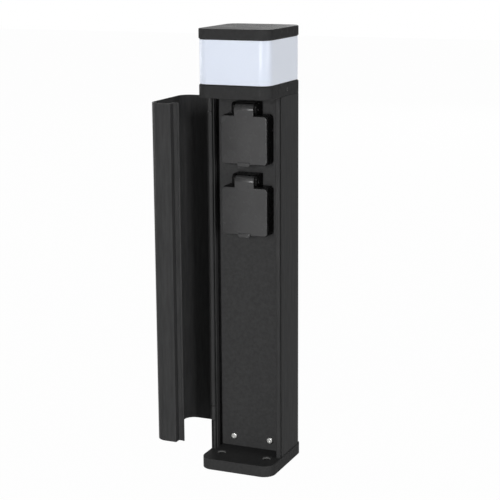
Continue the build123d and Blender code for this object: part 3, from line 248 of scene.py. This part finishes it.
def metal(name, dark, light, rough=(0.22, 0.34), stretch=EVEN):
    """Bare metal with fine turned or drawn marks."""
    material, tree, bsdf = shader(name)
    bsdf.inputs["Metallic"].default_value = 1.0
    tree.links.new(tinted(tree, noise(tree, METAL_PATCHES), dark, light), bsdf.inputs["Base Color"])
    marks = noise(tree, METAL_MARKS, stretch=stretch)
    tree.links.new(ranged(tree, marks, *rough), bsdf.inputs["Roughness"])
    bumped(tree, bsdf, (marks, MARK_STRENGTH, MARK_DEPTH))
    return material


# Opal diffuser: the reach of scattered light is in metres, for red, green and blue
OPAL_PATCHES, OPAL_SKIN, OPAL_WAVES = 14.0, 50.0, 120.0
OPAL_DARK, OPAL_LIGHT = (0.45, 0.50, 0.605), (0.46, 0.51, 0.615)
OPAL_SMOOTH, OPAL_ROUGH = 0.34, 0.4
OPAL_REACH = (0.004, 0.004, 0.0045)
# Painted light: the diffuser's glow stands in for light falling on it; the diffuser is no lamp
OPAL_PAINTED_GLOW, PAINTED_GLOW_STRENGTH = (0.95, 0.97, 1.0, 1), 0.31
MOULDED_WAVES = (1, 1, 0.2)
WAVE_STRENGTH, WAVE_DEPTH = 0.12, 0.00005


def opal(name):
    """Opal acrylic: a scattering body with a soft skin, and a painted glow of its own, though the diffuser
    is no lamp; base and glow together give its colour.
    """
    material, tree, bsdf = shader(name)
    tone = tinted(tree, noise(tree, OPAL_PATCHES), OPAL_DARK, OPAL_LIGHT)
    tree.links.new(tone, bsdf.inputs["Base Color"])
    tree.links.new(ranged(tree, noise(tree, OPAL_SKIN), OPAL_SMOOTH, OPAL_ROUGH), bsdf.inputs["Roughness"])
    bsdf.inputs["Specular IOR Level"].default_value = 0.45
    bsdf.inputs["Subsurface Weight"].default_value = 0.25
    bsdf.inputs["Subsurface Radius"].default_value = OPAL_REACH
    bsdf.inputs["Subsurface Scale"].default_value = 1.0
    # Painted light: emission on the unlit diffuser
    bsdf.inputs["Emission Color"].default_value = OPAL_PAINTED_GLOW
    bsdf.inputs["Emission Strength"].default_value = PAINTED_GLOW_STRENGTH
    bumped(tree, bsdf, (noise(tree, OPAL_WAVES, stretch=MOULDED_WAVES), WAVE_STRENGTH, WAVE_DEPTH))
    return material


# Finishes, by the record's material slots
finishes = {
    "black_coat": coat("black_coat", (0.042, 0.042, 0.0424), (0.056, 0.056, 0.0564),
                       lines=DRAWN_LINES, patches=DRAWN_PATCHES),
    "panel_coat": coat("panel_coat", (0.047, 0.047, 0.0474), (0.060, 0.060, 0.0604),
                       rough=(0.36, 0.46), grain=1800.0, depth=PANEL_GRAIN_DEPTH),
    # The foot's coat carries the painted highlight in its countersinks
    "foot_coat": rim_highlights(coat("foot_coat", (0.043, 0.043, 0.0432), (0.052, 0.052, 0.0522),
                           rough=(0.34, 0.44), grain=1100.0, depth=FOOT_GRAIN_DEPTH,
                           lines=MACHINED_LINES, specular=0.006)),
    "head_coat": coat("head_coat", (0.037, 0.037, 0.0373), (0.044, 0.044, 0.0443),
                      rough=(0.24, 0.32), specular=0.0055),
    "hinge_metal": coat("hinge_metal", (0.050, 0.050, 0.050), (0.058, 0.058, 0.058), grain=2400.0),
    "flap_plastic": plastic("flap_plastic", (0.054, 0.054, 0.0545), (0.060, 0.060, 0.0605),
                            rough=(0.22, 0.3), specular=0.25),
    "socket_plastic": plastic("socket_plastic", (0.005, 0.005, 0.005), (0.007, 0.007, 0.007),
                              rough=(0.22, 0.3), specular=0.06),
    "inner_plastic": plastic("inner_plastic", (0.010, 0.010, 0.010), (0.014, 0.014, 0.014)),
    "gland_plastic": plastic("gland_plastic", (0.018, 0.018, 0.018), (0.026, 0.026, 0.026)),
    "shutter_plastic": plastic("shutter_plastic", (0.26, 0.26, 0.26), (0.30, 0.30, 0.30)),
    "white_plastic": plastic("white_plastic", (0.72, 0.72, 0.70), (0.78, 0.78, 0.76)),
    "board": plastic("board", (0.76, 0.77, 0.75), (0.82, 0.82, 0.80), rough=(0.3, 0.36)),
    "led": plastic("led", (0.85, 0.68, 0.18), (0.9, 0.75, 0.25), rough=(0.2, 0.3)),
    "rubber": plastic("rubber", (0.010, 0.010, 0.010), (0.014, 0.014, 0.014),
                      rough=(0.65, 0.8), specular=0.3),
    "black_steel": metal("black_steel", (0.016, 0.016, 0.016), (0.024, 0.024, 0.024), rough=(0.34, 0.46)),
    "steel": metal("steel", (0.54, 0.54, 0.53), (0.68, 0.68, 0.66), rough=(0.34, 0.46)),
    "brass": metal("brass", (0.60, 0.42, 0.16), (0.74, 0.55, 0.24)),
    "core_aluminium": metal("core_aluminium", (0.62, 0.63, 0.64), (0.72, 0.73, 0.74),
                            rough=(0.3, 0.42), stretch=EXTRUDED_MARKS),
    "opal": opal("opal"),
}

for part in record["subparts"]:
    piece = nodes[part["node"]]
    finish = finishes[part["material_slot"]]
    if not piece.material_slots:
        piece.data.materials.append(finish)
    for slot in piece.material_slots:
        slot.material = finish

# Small rounds on the edges that catch light; short edges nearby don't narrow the unclamped ones
FINE_ROUND, SOFT_ROUND, COLLAR_ROUND = 0.0003, 0.0005, 0.0006
ROUND_STEPS = 2
SAME_POINT = 0.000002
SHARP_FROM = math.radians(38)
edge_rounds = {
    "column_profile": SOFT_ROUND,
    "door_profile": FINE_ROUND,
    "head_collar": COLLAR_ROUND,
    "top_cap": SOFT_ROUND,
    "diffuser": SOFT_ROUND,
    "foot_plate": FINE_ROUND,
    "upper_flap": FINE_ROUND,
    "lower_flap": FINE_ROUND,
    "upper_socket_housing": FINE_ROUND,
    "lower_socket_housing": FINE_ROUND,
    "upper_hinge_knuckle": SOFT_ROUND,
    "lower_hinge_knuckle": SOFT_ROUND,
}
unclamped = {
    "door_profile", "head_collar", "top_cap", "foot_plate", "upper_hinge_knuckle", "lower_hinge_knuckle",
}
for name, width in edge_rounds.items():
    weld = nodes[name].modifiers.new("weld", "WELD")
    weld.merge_threshold = SAME_POINT
    bevel = nodes[name].modifiers.new("bevel", "BEVEL")
    bevel.width = width
    bevel.segments = ROUND_STEPS
    bevel.limit_method = "ANGLE"
    bevel.angle_limit = SHARP_FROM
    bevel.harden_normals = True
    bevel.use_clamp_overlap = name not in unclamped

# Flap springs: each is copied into an object of its own with its placement baked in, and the original is
# hidden
for level in ("upper", "lower"):
    straight = nodes[f"{level}_flap_spring"]
    spring = bpy.data.objects.new(f"{level}_wound_spring", straight.data.copy())
    scene.collection.objects.link(spring)
    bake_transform(spring)
    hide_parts(f"{level}_flap_spring")


# Stage: the world is white to the camera, a mirror and glass, and the floor nearly so
AMBIENT_TONE, AMBIENT_STRENGTH = (0.93, 0.96, 1.0), 0.045
WHITE = (1, 1, 1)
FLOOR_REACH, FLOOR_GAP = 6.0, 0.0005
FLOOR_TONE, FLOOR_ROUGH = (0.8, 0.8, 0.8, 1), 0.9
FLOOR_WHITE_SHARE = 0.982


def ray_kinds(tree):
    """One for a ray from the camera, a mirror or glass, and zero for the rest."""
    path = tree.nodes.new("ShaderNodeLightPath")
    from_eye_or_mirror = calc(tree, "MAXIMUM", path.outputs["Is Camera Ray"], path.outputs["Is Glossy Ray"])
    return calc(tree, "MAXIMUM", from_eye_or_mirror, path.outputs["Is Transmission Ray"])


def background(tree, tone, strength):
    """Plain light from all round."""
    node = tree.nodes.new("ShaderNodeBackground")
    node.inputs["Color"].default_value = (*tone, 1)
    node.inputs["Strength"].default_value = strength
    return node.outputs["Background"]


def studio_world():
    """Weak light from all round, seen as white."""
    world = bpy.data.worlds.new("studio")
    world.use_nodes = True
    tree = world.node_tree
    tree.nodes.clear()
    output = tree.nodes.new("ShaderNodeOutputWorld")
    ambient = background(tree, AMBIENT_TONE, AMBIENT_STRENGTH)
    white = background(tree, WHITE, 1.0)
    tree.links.new(mixed(tree, ray_kinds(tree), ambient, white), output.inputs["Surface"])
    return world


def studio_floor():
    """A plain pale floor just under the foot, seen as nearly white."""
    corners = [(x * FLOOR_REACH, y * FLOOR_REACH, 0) for x, y in ((-1, -1), (1, -1), (1, 1), (-1, 1))]
    mesh = bpy.data.meshes.new("floor")
    mesh.from_pydata(corners, [], [(0, 1, 2, 3)])
    floor = bpy.data.objects.new("floor", mesh)
    floor.location.z = -FLOOR_GAP
    scene.collection.objects.link(floor)
    material, tree, bsdf = shader("floor")
    output = bsdf.outputs["BSDF"].links[0].to_socket
    bsdf.inputs["Base Color"].default_value = FLOOR_TONE
    bsdf.inputs["Roughness"].default_value = FLOOR_ROUGH
    glow = tree.nodes.new("ShaderNodeEmission")
    glow.inputs["Strength"].default_value = 1.0
    share = calc(tree, "MULTIPLY", ray_kinds(tree), FLOOR_WHITE_SHARE)
    tree.links.new(mixed(tree, share, bsdf.outputs["BSDF"], glow.outputs["Emission"]), output)
    mesh.materials.append(material)
    return floor


scene.world = studio_world()
studio_floor()

# Lamps: distances, sizes and heights in metres, directions in degrees
NEAR, MIDDLE, FAR = 1.9, 2.0, 3.2
TALL = 1.1
POST_AIM, HEAD_AIM = (0, 0, 0.25), (0, 0, 0.45)


def softbox(name, azimuth, elevation, distance, size, power, aim=POST_AIM):
    """Area lamp round the object; azimuth 0 is in front and 90 is on the right."""
    light = bpy.data.lights.new(name, "AREA")
    light.shape = "RECTANGLE"
    light.size, light.size_y = size
    light.energy = power
    lamp = bpy.data.objects.new(name, light)
    lamp.visible_camera = False
    turned, raised = math.radians(azimuth), math.radians(elevation)
    level = math.cos(raised)
    way = Vector((math.sin(turned) * level, -math.cos(turned) * level, math.sin(raised)))
    lamp.location = Vector(aim) + distance * way
    lamp.rotation_euler = way.to_track_quat("Z", "Y").to_euler()
    scene.collection.objects.link(lamp)


softbox("front", 0, 4, NEAR, size=(0.12, TALL), power=27.0)
softbox("edge", 64, 4, NEAR, size=(0.05, 1.2), power=2.0)
softbox("side", 80, 5, NEAR, size=(0.36, TALL), power=11.0)
softbox("left", -96, 4, NEAR, size=(0.36, TALL), power=8.0)
softbox("rear", -174, 14, FAR, size=(1.6, TALL), power=22.0)
softbox("back", -150, 22, MIDDLE, size=(0.9, 0.5), power=0.4, aim=HEAD_AIM)
